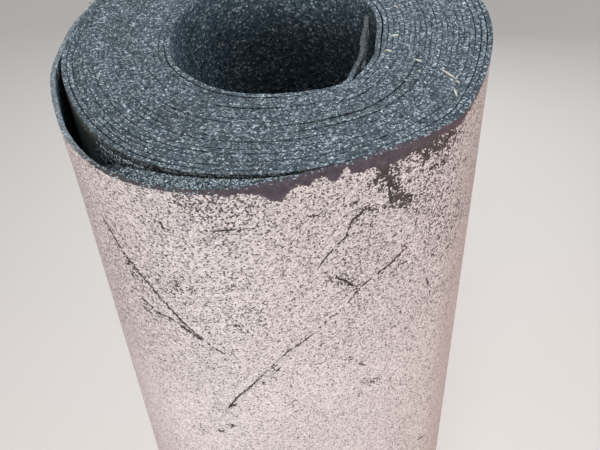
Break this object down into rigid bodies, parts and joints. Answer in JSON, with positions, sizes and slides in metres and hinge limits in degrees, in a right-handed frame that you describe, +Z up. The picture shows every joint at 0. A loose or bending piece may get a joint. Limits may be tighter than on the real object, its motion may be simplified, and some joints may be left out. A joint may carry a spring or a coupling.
{
  "type": "roll of roofing felt",
  "caption": "Roll of mineral-faced bitumen roofing felt standing on its end, with its turns showing on both ends, an open bore, a slack outer turn and a creased inner end.",
  "frame": {"origin": "on the axis of the winding, in the plane of the lower end", "axes": "+Z up along the bore, from the lower end to the upper end; -Y towards the side from which the slack outer turn is seen"},
  "size_m": [0.1965, 0.1966, 1],
  "materials": {
    "mineral_felt": "matte"
  },
  "bodies": {
    "root": {"felt_roll": "mineral_felt"}
  },
  "joints": []
}
